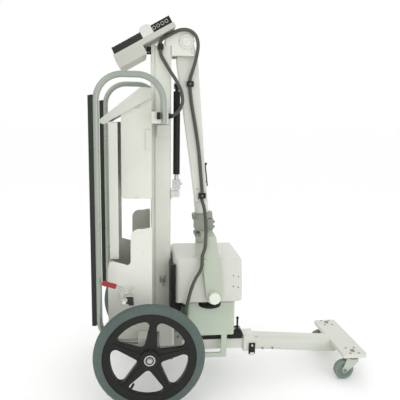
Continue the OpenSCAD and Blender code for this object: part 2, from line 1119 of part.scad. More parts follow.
// Wheel brakes: lever with shoe, and the red grip, drawn for the right side.
module brake_lever() {
    difference() {
        union() {
            bar_y(-88, 410, 11, -282, -262);
            side_plate(-280, -264)
            polygon([[-84, 404], [-62, 399], [-56, 394], [-50, 404], [-60, 424],
                [-82, 424], [-92, 415]]);
            translate([-73, -290, 394])
            cube([18, 36, 8]);
            bar_link(-92, 415, -98, 452, 5);
            bar_link(-98, 452, -150, 468, 5);
        }
        bar_y(-88, 410, 5.55, -300, -240);
    }
}
module bar_link(x1, z1, x2, z2, r) {
    translate([x1, -272, z1])
    rotate([0, atan2(x2 - x1, z2 - z1), 0])
    cylinder(r = r, h = norm([x2 - x1, z2 - z1]));
    translate([x1, -272, z1])
    sphere(r = r);
}
module brake_grip() {
    translate([-116, -272, 457.5])
    rotate([0, -73, 0])
    difference() {
        rotate_extrude()
        polygon([[0, 0], [8, 0], [9.5, 4], [8.5, 20], [9.5, 38], [9, 46], [6, 51],
            [0, 52]]);
        translate([0, 0, -1])
        cylinder(r = 5.2, h = 36.8);
    }
}
module right_brake_lever() {
    color(steel)
    place()
    brake_lever();
}
module left_brake_lever() {
    color(steel)
    place()
    mirror([0, 1, 0])
    brake_lever();
}
module right_brake_grip() {
    color([0.58, 0.09, 0.12])
    place()
    brake_grip();
}
module left_brake_grip() {
    color([0.58, 0.09, 0.12])
    place()
    mirror([0, 1, 0])
    brake_grip();
}

// Moving lengths of the conduit: over the hub, along the boom, down to the head.
module conduit_loop() {
    color([0.37, 0.39, 0.35])
    place()
    hose([[47, -69, 1316.3], [47, -69, 1324], [54, -69.5, 1334], [70, -70, 1344],
        [94, -71, 1357], [122, -72, 1368], [152, -72, 1367], [176, -71, 1350],
        [186, -69, 1322], [184, -64, 1288], [176, -55, 1250], [166, -44, 1214],
        [161, -boom_hy - 8.5, 1198], [161, -boom_hy - 8.5, 1188]], hose_r);
}
module conduit_boom() {
    color([0.37, 0.39, 0.35])
    place()
    hose([[161, -boom_hy - 8, 1165.7], [161, -boom_hy - 8, 1156],
        [168, -boom_hy - 8, 1100], [184, -boom_hy - 8, 1010],
        [198, -boom_hy - 8, 920], [208, -boom_hy - 8, 820],
        [213, -boom_hy - 8, 764], [213, -boom_hy - 8, 755.3]], hose_r);
}
module conduit_drop() {
    color([0.37, 0.39, 0.35])
    place()
    hose([[213, -boom_hy - 8, 734.7], [213, -boom_hy - 8, 726], [219, -62, 700],
        [220, -98, 664], [218, -134, 634], [215, -155, 600], [213, -156, 564],
        [204, -fork_hy - 9, 532], [203, -fork_hy - 9, 516]], hose_r);
}
module conduit_tail() {
    color([0.37, 0.39, 0.35])
    place()
    hose([[203, -fork_hy - 9, 499.7], [202, -fork_hy - 9, 489], [194, -151, 466],
        [179, -150, 440], [164, -149, 402], [153, -146, 358], [146, -139, 318],
        [145, -129, 284], [145, -115, 268], [143, -100, 276], [143, -96, 298],
        [143, -96, 312], [143, -96, 321.5]], hose_r);
}

chassis();
cassette_bin();
column();
column_fittings();
hub_head();
boom_pin();
generator_box();
sloped_lid();
rear_panel();
right_handle();
left_handle();
skid_strips();
handle_brackets();
handle_knobs();
axle_stubs();
leg_root();
inner_beam();
leg_collar();
leg_sleeve();
crossbar();
parking_cradle();
leg_pad();
brake_brackets();
console_bracket();
conduit_column();
right_tyre();
right_rim();
right_hub_cap();
left_tyre();
left_rim();
left_hub_cap();
right_caster_fork();
right_caster_wheel();
left_caster_fork();
left_caster_wheel();
console_body();
console_strip();
console_display();
console_saddle();
key_start();
key_stop();
boom();
boom_clips();
gas_rod();
gas_cylinder();
swivel_clamp();
fork_arms();
tank();
pivot_knobs();
collimator();
field_wheel();
latch_lever();
right_brake_lever();
left_brake_lever();
right_brake_grip();
left_brake_grip();
conduit_loop();
conduit_boom();
conduit_drop();
conduit_tail();
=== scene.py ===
# Looks of the mobile X-ray unit: procedural finishes on the CAD parts and detailed pieces round them.
import bpy
import math
from mathutils import Matrix, Vector


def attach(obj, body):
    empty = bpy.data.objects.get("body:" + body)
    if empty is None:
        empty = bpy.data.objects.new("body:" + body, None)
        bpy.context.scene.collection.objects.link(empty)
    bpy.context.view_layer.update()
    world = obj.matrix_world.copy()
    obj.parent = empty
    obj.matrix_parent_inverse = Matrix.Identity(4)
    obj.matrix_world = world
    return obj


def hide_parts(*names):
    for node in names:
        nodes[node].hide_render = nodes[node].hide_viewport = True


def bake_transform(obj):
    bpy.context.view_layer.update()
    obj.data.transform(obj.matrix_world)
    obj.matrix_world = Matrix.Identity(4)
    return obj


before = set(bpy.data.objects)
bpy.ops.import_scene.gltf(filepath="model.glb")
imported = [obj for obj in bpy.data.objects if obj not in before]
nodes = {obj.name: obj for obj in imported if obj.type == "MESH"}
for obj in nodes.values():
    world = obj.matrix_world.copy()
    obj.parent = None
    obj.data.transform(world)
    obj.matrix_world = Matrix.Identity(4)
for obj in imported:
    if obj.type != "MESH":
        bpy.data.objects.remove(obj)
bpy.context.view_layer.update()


# ---------------------------------------------------------------- places
AXLE_SHIFT = 337.5          # from the rear axle to the middle of the machine, mm
WHEEL_Y, WHEEL_Z = 300, 200  # centre of the left rear wheel
CASTER_X, CASTER_Y, CASTER_Z, CASTER_TRAIL = 829.5, 146, 40, 34
COLLIMATOR_X = 253
PIVOT_X, PIVOT_Z = 144, 1328  # the boom's pivot
HANDLE_Y = 245


def at(x, y, z):
    """A point in metres from the CAD's own millimetres, with X counted from the rear axle."""
    return Vector(((x - AXLE_SHIFT) / 1000, y / 1000, z / 1000))


def turned(origin, degrees):
    """A local frame turned up about Y, as the console's desk and the leaning boom are."""
    c, s = math.cos(math.radians(degrees)), math.sin(math.radians(degrees))

    def place(u, y, n):
        return at(origin[0] + u * c - n * s, origin[1] + y, origin[2] + u * s + n * c)

    place.along = Vector((c, 0, s))
    place.out = Vector((-s, 0, c))
    return place


desk = turned((-132, 0, 1295), 29.5)
lean = turned((PIVOT_X, 0, PIVOT_Z), 6.4)
NEAR, FAR, UP, DOWN = Vector((0, -1, 0)), Vector((0, 1, 0)), Vector((0, 0, 1)), Vector((0, 0, -1))
FRONT, BACK = Vector((1, 0, 0)), Vector((-1, 0, 0))
SIDES = ((-1, NEAR), (1, FAR))
SIDE_NAMES = {-1: "right", 1: "left"}


# ---------------------------------------------------------------- camera and light
YAW, PITCH, ROLL = 6.86, 9.06, 0.8  # degrees
EYE = Vector((-0.3665, -1.984, 1.040))


def camera():
    """The view, set by its yaw, pitch and roll."""
    yaw, pitch, roll = (math.radians(a) for a in (YAW, PITCH, ROLL))
    flat = Vector((math.sin(yaw), math.cos(yaw), 0))
    side = Vector((math.cos(yaw), -math.sin(yaw), 0))
    ahead = math.cos(pitch) * flat - math.sin(pitch) * UP
    above = math.sin(pitch) * flat + math.cos(pitch) * UP
    right = math.cos(roll) * side + math.sin(roll) * above
    top = -math.sin(roll) * side + math.cos(roll) * above
    data = bpy.data.cameras.new("view")
    data.sensor_width, data.lens = 36, 45
    data.clip_start, data.clip_end = 0.05, 60
    cam = bpy.data.objects.new("view", data)
    bpy.context.scene.collection.objects.link(cam)
    m = Matrix((right, top, -ahead)).transposed().to_4x4()
    m.translation = EYE
    cam.matrix_world = m
    bpy.context.scene.camera = cam


def area_light(name, where, target, size, power, colour):
    data = bpy.data.lights.new(name, "AREA")
    data.shape, data.size, data.energy, data.color = "DISK", size, power, colour
    light = bpy.data.objects.new(name, data)
    light.location = where
    light.rotation_mode = "QUATERNION"
    light.rotation_quaternion = (Vector(target) - Vector(where)).to_track_quat("-Z", "Y")
    bpy.context.scene.collection.objects.link(light)


def studio():
    """A white surround with a weak key, a low fill from the front and a rim light behind."""
    scene = bpy.context.scene
    scene.view_settings.view_transform = "Standard"
    world = scene.world or bpy.data.worlds.new("studio")
    scene.world = world
    world.use_nodes = True
    sky = world.node_tree.nodes.get("Background") or world.node_tree.nodes.new("ShaderNodeBackground")
    sky.inputs["Color"].default_value = (1.0, 1.0, 1.0, 1)
    sky.inputs["Strength"].default_value = 1.0
    area_light("key", (-2.4, -3.2, 3.0), (0, 0, 0.5), 2.0, 16, (1.0, 0.99, 0.96))
    area_light("fill", (1.4, -3.4, 0.9), (0, 0, 0.3), 2.2, 18, (0.96, 0.98, 1.0))
    area_light("rim", (0.6, 2.8, 2.4), (0, 0, 0.8), 1.8, 10, (1.0, 1.0, 1.0))


# ---------------------------------------------------------------- finishes
def tint(r, g, b):
    """Linear colour from 0-255 display values."""
    return tuple((v / 255 / 12.92) if v <= 10 else ((v / 255 + 0.055) / 1.055) ** 2.4 for v in (r, g, b))


def finish_of(name, colour, rough, metal=0.0, coat=0.0, tone=0.05, mottle=5.0, grain=900.0,
              depth=0.00004, spread=0.06, stretch=(1, 1, 1), worn=None, wear=0.5, flecks=None, sheen=0.0,
              shine=0.5):
    """A procedural finish: patchy tone, fine relief, uneven gloss, and edges worn to another colour."""
    mat = bpy.data.materials.new(name)
    mat.use_nodes = True
    tree = mat.node_tree
    shader = tree.nodes["Principled BSDF"]
    link = tree.links.new

    def noise(scale, detail, source, rough_=0.5):
        n = tree.nodes.new("ShaderNodeTexNoise")
        n.inputs["Scale"].default_value = scale
        n.inputs["Detail"].default_value = detail
        n.inputs["Roughness"].default_value = rough_
        link(source, n.inputs["Vector"])
        return n.outputs["Fac"]

    def spread_to(value, low, high, to_low, to_high):
        n = tree.nodes.new("ShaderNodeMapRange")
        for key, v in (("From Min", low), ("From Max", high), ("To Min", to_low), ("To Max", to_high)):
            n.inputs[key].default_value = v
        link(value, n.inputs["Value"])
        return n.outputs["Result"]

    def mixed(factor, a, b):
        n = tree.nodes.new("ShaderNodeMix")
        n.data_type = "RGBA"
        link(factor, n.inputs[0])
        for socket, v in ((n.inputs[6], a), (n.inputs[7], b)):
            if isinstance(v, tuple):
                socket.default_value = (*v, 1)
            else:
                link(v, socket)
        return n.outputs[2]

    where = tree.nodes.new("ShaderNodeTexCoord").outputs["Object"]
    patches = spread_to(noise(mottle, 4, where), 0.3, 0.7, 0.0, 1.0)
    light = tuple(min(1.0, c * (1 + tone)) for c in colour)
    dark = tuple(c * (1 - tone) for c in colour)
    base = mixed(patches, dark, light)
    smudge = spread_to(noise(mottle * 7, 3, where, 0.65), 0.52, 0.75, 0.0, tone * 1.6)
    base = mixed(smudge, base, tuple(c * 0.72 for c in colour))
    if flecks:
        spots = spread_to(noise(grain * 0.6, 2, where), 0.60, 0.68, 0.0, 0.7)
        base = mixed(spots, base, flecks)
    if worn:
        bevel = tree.nodes.new("ShaderNodeBevel")
        bevel.samples = 4
        bevel.inputs["Radius"].default_value = 0.0016
        geometry = tree.nodes.new("ShaderNodeNewGeometry")
        dot = tree.nodes.new("ShaderNodeVectorMath")
        dot.operation = "DOT_PRODUCT"
        link(bevel.outputs["Normal"], dot.inputs[0])
        link(geometry.outputs["Normal"], dot.inputs[1])
        edge = spread_to(dot.outputs["Value"], 0.985, 0.90, 0.0, 1.0)
        patchy = spread_to(noise(90, 4, where, 0.7), 0.46, 0.62, 0.0, wear)
        both = tree.nodes.new("ShaderNodeMath")
        both.operation = "MULTIPLY"
        link(edge, both.inputs[0])
        link(patchy, both.inputs[1])
        base = mixed(both.outputs[0], base, worn)
    link(base, shader.inputs["Base Color"])
    stretched = tree.nodes.new("ShaderNodeMapping")
    stretched.inputs["Scale"].default_value = stretch
    link(where, stretched.inputs["Vector"])
    fine = noise(grain, 3, stretched.outputs["Vector"])
    gloss = noise(mottle * 4, 5, where, 0.6)
    link(spread_to(gloss, 0.3, 0.7, max(0.02, rough - spread), min(1.0, rough + spread)),
         shader.inputs["Roughness"])
    bump = tree.nodes.new("ShaderNodeBump")
    bump.inputs["Distance"].default_value = depth
    bump.inputs["Strength"].default_value = 0.8
    link(fine, bump.inputs["Height"])
    link(bump.outputs["Normal"], shader.inputs["Normal"])
    shader.inputs["Metallic"].default_value = metal
    shader.inputs["Coat Weight"].default_value = coat
    shader.inputs["Coat Roughness"].default_value = 0.18
    shader.inputs["Sheen Weight"].default_value = sheen
    shader.inputs["Specular IOR Level"].default_value = shine
    mat.diffuse_color = (*colour, 1)
    return mat


BARE = tint(150, 150, 146)
F = {name: finish_of(name, tint(*shade), rough, **rest) for name, shade, rough, rest in (
    ("grey_paint", (210, 212, 202), 0.42, dict(coat=0.15, grain=1100, worn=tint(190, 190, 182))),
    ("white_paint", (216, 218, 209), 0.40,
     dict(coat=0.15, grain=1100, tone=0.03, worn=tint(200, 200, 192))),
    ("boom_paint", (208, 210, 200), 0.38, dict(coat=0.2, grain=1200, tone=0.03, worn=tint(190, 190, 182))),
    ("case_white", (205, 206, 197), 0.46,
     dict(grain=1900, depth=0.00005, tone=0.03, worn=tint(206, 206, 198))),
    ("tank_white", (206, 207, 198), 0.40, dict(coat=0.12, grain=1300, tone=0.03, worn=tint(192, 192, 184))),
    ("green_paint", (180, 188, 171), 0.44, dict(coat=0.1, grain=1300, tone=0.04, worn=tint(170, 176, 162))),
    ("green_case", (188, 199, 181), 0.42, dict(coat=0.12, grain=1500, tone=0.04, worn=tint(206, 212, 200))),
    ("handle_paint", (150, 158, 147), 0.30,
     dict(metal=0.35, coat=0.35, grain=1400, depth=0.00002, tone=0.04, worn=BARE)),
    ("cast_grey", (144, 148, 137), 0.55,
     dict(metal=0.25, grain=520, depth=0.00012, tone=0.07, worn=tint(186, 186, 180))),
    ("steel", (186, 187, 184), 0.28,
     dict(metal=0.95, grain=500, depth=0.00002, stretch=(1, 12, 12), tone=0.06, mottle=30)),
    ("black_metal", (26, 27, 25), 0.38,
     dict(grain=1300, tone=0.15, worn=tint(92, 92, 90), wear=0.7, shine=0.2)),
    ("black_plastic", (31, 33, 31), 0.52,
     dict(grain=2200, depth=0.00008, tone=0.14, worn=tint(78, 80, 78), shine=0.25)),
    ("rim_plastic", (32, 33, 30), 0.42,
     dict(grain=2000, depth=0.00006, tone=0.16, worn=tint(84, 86, 82), shine=0.2)),
    ("black_rubber", (44, 46, 44), 0.72,
     dict(grain=1500, depth=0.00010, tone=0.18, flecks=tint(66, 68, 65), sheen=0.08, shine=0.25)),
    ("tyre_grey", (78, 92, 87), 0.66,
     dict(grain=900, depth=0.00012, tone=0.10, mottle=8, flecks=tint(118, 128, 122), sheen=0.10,
          shine=0.3)),
    ("caster_rubber", (112, 128, 119), 0.60,
     dict(grain=1200, depth=0.00008, tone=0.10, mottle=14, flecks=tint(130, 142, 134))),
    ("conduit_grey", (80, 84, 75), 0.58,
     dict(grain=1600, depth=0.00006, tone=0.09, mottle=16, sheen=0.05, shine=0.3)),
    ("grip_red", (150, 20, 27), 0.42, dict(coat=0.1, grain=1800, depth=0.00006, tone=0.10, mottle=40)),
    ("key_green", (70, 142, 92), 0.45, dict(grain=2000, tone=0.06, mottle=40)),
    ("key_amber", (206, 176, 96), 0.45, dict(grain=2000, tone=0.06, mottle=40)),
    # Dark rubber for the bin's mat; also the colour of the painted shade ring round each axle nut.
    ("dark_rubber_and_painted_shade", (52, 54, 51), 0.78,
     dict(grain=1200, depth=0.00014, tone=0.2, flecks=tint(70, 72, 68), shine=0.25)),
    ("leg_white", (204, 206, 196), 0.42, dict(coat=0.12, grain=1100, tone=0.03, worn=tint(186, 188, 180))),
    ("console_grey", (188, 188, 179), 0.46,
     dict(grain=1900, depth=0.00005, tone=0.03, worn=tint(172, 172, 164))),
    ("saddle_white", (206, 209, 202), 0.36,
     dict(coat=0.15, grain=1300, tone=0.03, worn=tint(200, 202, 196))),
    ("knob_pale", (222, 229, 216), 0.36, dict(coat=0.2, grain=1500, tone=0.03, worn=tint(200, 206, 194))),
    ("screw_zinc", (150, 152, 146), 0.32, dict(metal=0.9, grain=1500, depth=0.00002, tone=0.10, mottle=60)),
    ("screen", (20, 24, 24), 0.08,
     dict(coat=1.0, grain=1800, depth=0.000004, tone=0.25, mottle=20, spread=0.03)),
    ("window", (150, 160, 150), 0.06,
     dict(coat=1.0, grain=1500, depth=0.000003, tone=0.08, mottle=20, spread=0.02)),
    ("key_pale", (206, 208, 200), 0.5, dict(grain=2400, tone=0.04, mottle=60)),
)}

COATS = {
    "grey_paint": ["chassis", "column", "generator_box", "handle_brackets", "inner_beam", "leg_collar",
                   "brake_brackets"],
    "white_paint": ["cassette_bin", "hub_head", "rear_panel", "boom_pin"],
    "leg_white": ["sloped_lid", "leg_sleeve", "crossbar"],
    "case_white": ["column_fittings"],
    "console_grey": ["console_body"],
    "saddle_white": ["console_saddle"],
    "boom_paint": ["boom"],
    "tank_white": ["tank"],
    "green_paint": ["fork_arms", "right_caster_fork", "left_caster_fork"],
    "green_case": ["collimator"],
    "knob_pale": ["pivot_knobs"],
    "handle_paint": ["right_handle", "left_handle"],
    "cast_grey": ["swivel_clamp", "leg_root"],
    "steel": ["axle_stubs", "gas_rod", "right_hub_cap", "left_hub_cap", "right_brake_lever",
              "left_brake_lever"],
    "black_metal": ["gas_cylinder", "console_bracket", "parking_cradle"],
    "black_plastic": ["handle_knobs", "latch_lever", "field_wheel", "console_display", "boom_clips",
                      "leg_pad"],
    "rim_plastic": ["right_rim", "left_rim"],
    "black_rubber": ["skid_strips", "console_strip"],
    "tyre_grey": ["right_tyre", "left_tyre"],
    "caster_rubber": ["right_caster_wheel", "left_caster_wheel"],
    "conduit_grey": ["conduit_column", "conduit_loop", "conduit_boom", "conduit_drop", "conduit_tail"],
    "grip_red": ["right_brake_grip", "left_brake_grip"],
    "key_green": ["key_start"],
    "key_amber": ["key_stop"],
}
HARD_EDGE = 0.0007  # width of the rounding on most parts, m
SOFT_EDGE = {"skid_strips": 0.0015, "leg_pad": 0.0015, "tank": 0.0016, "generator_box": 0.0012,
             "collimator": 0.0012}


def coat_cad():
    """Gives every CAD node its finish and slightly rounded edges."""
    for finish, names in COATS.items():
        for name in names:
            ob = nodes[name]
            for s in ob.material_slots:
                s.material = F[finish]
            weld = ob.modifiers.new("weld", "WELD")
            weld.merge_threshold = 0.00002
            flat = ob.modifiers.new("flat", "DECIMATE")
            flat.decimate_type, flat.angle_limit = "DISSOLVE", math.radians(0.4)
            edge = ob.modifiers.new("edge", "BEVEL")
            edge.limit_method, edge.angle_limit = "ANGLE", math.radians(40)
            edge.width, edge.segments = SOFT_EDGE.get(name, HARD_EDGE), 2
            edge.use_clamp_overlap = True
            even = ob.modifiers.new("even", "WEIGHTED_NORMAL")
            even.keep_sharp = False


# ---------------------------------------------------------------- mesh building
def piece(name, verts, faces, finish, body, smooth=40, slot=None):
    """A finished mesh that rides on a body; an edge sharper than smooth, in degrees, stays crisp."""
    mesh = bpy.data.meshes.new(name)
    mesh.from_pydata([tuple(v) for v in verts], [], faces)
    mesh.update()
    for p in mesh.polygons:
        p.use_smooth = True
    mesh.set_sharp_from_angle(angle=math.radians(smooth))
    mesh.materials.append(F[finish])
    ob = bpy.data.objects.new(name, mesh)
    bpy.context.scene.collection.objects.link(ob)
    if body:
        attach(ob, body)
    return ob


class Batch:
    """Collects several shapes that make one piece."""

    def __init__(self):
        self.verts, self.faces = [], []

    def add(self, verts, faces):
        start = len(self.verts)
        self.verts += verts
        self.faces += [tuple(i + start for i in f) for f in faces]

    def turn(self, centre, out, profile, count, shape=None, **ends):
        """A turned shape round an axis."""
        self.add(*skin(turned_rings(centre, out, profile, count, shape), **ends))

    def torus(self, centre, out, radius, thick, count):
        self.add(*skin(torus_rings(centre, out, radius, thick, count), closed=True))

    def make(self, name, finish, body, smooth=40, slot=None):
        return piece(name, self.verts, self.faces, finish, body, smooth, slot)


def axes(out):
    """Two directions square to out."""
    out = Vector(out).normalized()
    side = out.cross(UP if abs(out.z) < 0.9 else FRONT).normalized()
    return side, out.cross(side).normalized(), out


def skin(rings, caps=(True, True), closed=False):
    """Quads between rings of points, with its end caps."""
    n = len(rings[0])
    verts = [p for ring in rings for p in ring]
    faces = []
    last = len(rings) if closed else len(rings) - 1
    for i in range(last):
        j = (i + 1) % len(rings)
        faces += [(i * n + k, i * n + (k + 1) % n, j * n + (k + 1) % n, j * n + k) for k in range(n)]
    if not closed and caps[0]:
        faces.append(tuple(reversed(range(n))))
    if not closed and caps[1]:
        faces.append(tuple((len(rings) - 1) * n + k for k in range(n)))
    return verts, faces


def turned_rings(centre, out, profile, count=32, shape=None):
    """Rings round an axis from (radius, height) pairs in mm; shape may alter a radius."""
    side, up, out = axes(out)
    rings = []
    for r, h in profile:
        ring = []
        for k in range(count):
            a = 2 * math.pi * k / count
            rr = shape(a, r, h) if shape else r
            ring.append(centre + (side * math.cos(a) + up * math.sin(a)) * rr / 1000 + out * h / 1000)
        rings.append(ring)
    return rings


def torus_rings(centre, out, radius, thick, count, around=10):
    """Rings of a round bead of a given thickness about an axis."""
    side, up, out = axes(out)
    rings = []
    for k in range(count):
        a = 2 * math.pi * k / count
        spoke = side * math.cos(a) + up * math.sin(a)
        rings.append([centre + (spoke * (radius + thick * math.cos(2 * math.pi * j / around))
                      + out * thick * math.sin(2 * math.pi * j / around)) / 1000 for j in range(around)])
    return rings


def hexed(a):
    """Distance to the side of a hexagon of unit circumradius."""
    return math.cos(math.pi / 6) / math.cos((a % (math.pi / 3)) - math.pi / 6)


def socket_screw(batch, centre, out, r=3.5, head=2.6):
    """A cap screw with a hexagon socket, standing on centre; a negative radius marks the socket."""
    def shape(a, radius, _height):
        return -radius * hexed(a) if radius < 0 else radius
    key = -r * 0.55
    rings = turned_rings(centre, out, [(r, 0), (r, head * 0.8), (r * 0.9, head), (r * 0.66, head)], 24)
    rings += turned_rings(centre, out, [(key, head), (key, head * 0.35)], 24, shape)
    batch.add(*skin(rings, (False, True)))


def pan_screw(batch, centre, out, r=3.0, head=1.6):
    """A domed screw with a cross slot."""
    def shape(a, radius, _height):
        if radius > r * 0.62:
            return radius
        return radius * (1 if abs(math.sin(2 * a)) < 0.45 else 0.5)
    dome = [(r, 0), (r * 0.98, head * 0.4), (r * 0.85, head * 0.8), (r * 0.66, head)]
    rings = turned_rings(centre, out, dome, 32)
    rings += turned_rings(centre, out, [(r * 0.6, head), (r * 0.5, head * 0.45)], 32, shape)
    batch.add(*skin(rings, (False, True)))


def hex_nut(batch, centre, out, r=7.0, height=5.0, bore=3.5):
    """A chamfered nut with an open bore."""
    def shape(a, radius, _height):
        return radius if radius <= r * 0.87 else radius * hexed(a)
    rings = turned_rings(centre, out, [(r, 0), (r, height - 0.8), (r * 0.86, height), (bore, height),
                                       (bore, height * 0.5)], 36, shape)
    batch.add(*skin(rings, (False, True)))


def slab(batch, centre, along, across, size, thick, radius, edge=0.4, steps=5):
    """A rounded rectangular plate standing on centre; size and the rest are in mm."""
    along, across = Vector(along).normalized(), Vector(across).normalized()
    out = along.cross(across).normalized()

    def ring(inset, h):
        pts = []
        hx, hy, rr = size[0] / 2 - inset, size[1] / 2 - inset, max(0.05, radius - inset)
        for cx, cy, start in ((1, 1, 0), (-1, 1, 90), (-1, -1, 180), (1, -1, 270)):
            for k in range(steps + 1):
                a = math.radians(start + 90 * k / steps)
                x, y = cx * (hx - rr) + rr * math.cos(a), cy * (hy - rr) + rr * math.sin(a)
                pts.append(centre + (along * x + across * y + out * h) / 1000)
        return pts
    rings = [ring(0, 0), ring(0, thick - edge), ring(edge * 0.3, thick - edge * 0.3), ring(edge, thick)]
    batch.add(*skin(rings))


def spline(points, steps):
    """The CAD hose's own curve through its points."""
    out = []
    for i in range(len(points) - 1):
        a, b = points[max(i - 1, 0)], points[i]
        c, d = points[i + 1], points[min(i + 2, len(points) - 1)]
        for j in range(steps):
            t = j / steps
            out.append(0.5 * (2 * b + (c - a) * t + (2 * a - 5 * b + 4 * c - d) * t * t
                              + (3 * b - a - 3 * c + d) * t ** 3))
    return out + [points[-1]]


def evenly(path, step):
    """The same path with points a fixed step apart."""
    length = [0.0]
    for a, b in zip(path, path[1:]):
        length.append(length[-1] + (b - a).length)
    count = max(2, round(length[-1] / step))
    out, i = [], 0
    for k in range(count + 1):
        s = length[-1] * k / count
        while i < len(length) - 2 and length[i + 1] < s:
            i += 1
        f = (s - length[i]) / max(1e-9, length[i + 1] - length[i])
        out.append(path[i].lerp(path[i + 1], min(1.0, f)))
    return out


def tube_rings(path, radius_at, count=14):
    """Rings of a tube along a path without twist."""
    rings, side = [], None
    for i, p in enumerate(path):
        ahead = (path[min(i + 1, len(path) - 1)] - path[max(i - 1, 0)]).normalized()
        if side is None:
            side = axes(ahead)[0]
        side = (side - ahead * side.dot(ahead)).normalized()
        up = ahead.cross(side)
        r = radius_at(i) / 1000
        turns = [2 * math.pi * k / count for k in range(count)]
        rings.append([p + (side * math.cos(a) + up * math.sin(a)) * r for a in turns])
    return rings


# ---------------------------------------------------------------- conduit
RIB = 3.4          # pitch of the ribs, mm
RINGS_TO_RIB = 4
CUFF_RINGS = 9


def along_ribs(points):
    """A smooth path through the points with a fixed number of rings to each rib."""
    return evenly(spline([at(*p) for p in points], 10), RIB / 1000 / RINGS_TO_RIB)


def ribbed_hose(name, points, bodies):
    """The ribbed conduit along the CAD route: four rings to each rib, plain cuffs at the ends."""
    path = along_ribs(points)
    last = len(path) - 1

    def radius(i):
        if min(i, last - i) < CUFF_RINGS:
            return 6.9
        return 6.55 + 0.38 * math.cos(math.pi * i / 2)

    ob = piece(name, *skin(tube_rings(path, radius)), "conduit_grey", None, 60)
    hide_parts(name.replace("ribbed_", "conduit_"))
    if len(bodies) == 1:
        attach(ob, bodies[0])
    else:
        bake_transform(ob)


def conduits():
    """Five lengths of conduit on the CAD's own routes, two glands and the sleeve at the fork's clip."""
    ribbed_hose("ribbed_column", [(80, -84, 1054), (88, -84, 1054), (104, -88, 1063), (120, -92, 1082),
                (128, -94, 1110), (122, -94, 1146), (104, -90, 1184), (82, -82, 1218), (62, -74, 1252),
                (50, -70, 1274), (47, -69, 1287), (47, -69, 1295.7)], ["base"])
    ribbed_hose("ribbed_loop", [(47, -69, 1316.3), (47, -69, 1324), (54, -69.5, 1334), (70, -70, 1344),
                (94, -71, 1357), (122, -72, 1368), (152, -72, 1367), (176, -71, 1350), (186, -69, 1322),
                (184, -64, 1288), (176, -55, 1250), (166, -44, 1214), (161, -38.5, 1198), (161, -38.5, 1188)],
                ["base", "boom"])
    ribbed_hose("ribbed_boom", [(161, -38, 1165.7), (161, -38, 1156), (168, -38, 1100), (184, -38, 1010),
                (198, -38, 920), (208, -38, 820), (213, -38, 764), (213, -38, 755.3)], ["boom"])
    ribbed_hose("ribbed_drop", [(213, -38, 734.7), (213, -38, 726), (219, -62, 700), (220, -98, 664),
                (218, -134, 634), (215, -155, 600), (213, -156, 564), (204, -152, 532), (203, -152, 516)],
                ["boom", "fork"])
    ribbed_hose("ribbed_tail", [(203, -152, 499.7), (202, -152, 489), (194, -151, 466), (179, -150, 440),
                (164, -149, 402), (153, -146, 358), (146, -139, 318), (145, -129, 284), (145, -115, 268),
                (143, -100, 276), (143, -96, 298), (143, -96, 312), (143, -96, 321.5)],
                ["fork", "head"])

    def flutes(a, r, h):
        return r * (1.04 if h < 4 and int(a * 12 / math.pi) % 2 else 1)

    for name, body, centre, out in (("column_gland", "base", at(80, -84, 1054), FRONT),
                                    ("tank_gland", "head", at(143, -96, 322), DOWN)):
        collar = Batch()
        collar.turn(centre, out, [(9.4, -4), (9.4, 3), (8.2, 5), (8.0, 12), (7.3, 13)], 24, flutes,
                    caps=(True, False))
        collar.make(name, "black_plastic", body)
    bridge = along_ribs([(203, -152, 517), (203, -152, 508), (203, -152, 498)])
    sleeve = tube_rings(bridge, lambda i: 6.7 + 0.3 * math.cos(math.pi * i / 2))
    piece("fork_sleeve", *skin(sleeve), "conduit_grey", "fork", 60)


# ---------------------------------------------------------------- wheels
def tyre(side, body):
    """Moulded tyre: rounded tread with three grooves and cross cuts, ribbed sidewalls and a bead."""
    name = SIDE_NAMES[side]
    centre = at(0, side * WHEEL_Y, WHEEL_Z)
    half = [(168.3, 15.6), (170, 16.2), (172, 16.4), (174, 16.9), (176, 17.5), (178.5, 17.8), (181, 17.95),
            (184, 17.7), (187, 17.1), (188, 16.5), (189, 16.5), (190, 16.1), (192.5, 14.6), (194.8, 12.4),
            (196.6, 10.4), (197.2, 9.6), (196.0, 9.1), (196.2, 8.4), (198.2, 7.6), (199.2, 5.2), (199.4, 4.0),
            (198.2, 3.4), (198.3, 2.8), (199.9, 2.0), (200.0, 0.9)]
    profile = half + [(r, -h) for r, h in reversed(half)]

    def shape(a, r, h):
        step = int(a / (2 * math.pi) * 192) % 4
        cut = 0.9 if step == 0 and r > 194.5 and abs(h) > 4.5 else 0.0
        return r - cut

    rings = turned_rings(centre, FAR, profile, 384, shape)
    ob = piece(name + "_tread", *skin(rings, closed=True), "tyre_grey", body, 55)
    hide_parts(name + "_tyre")


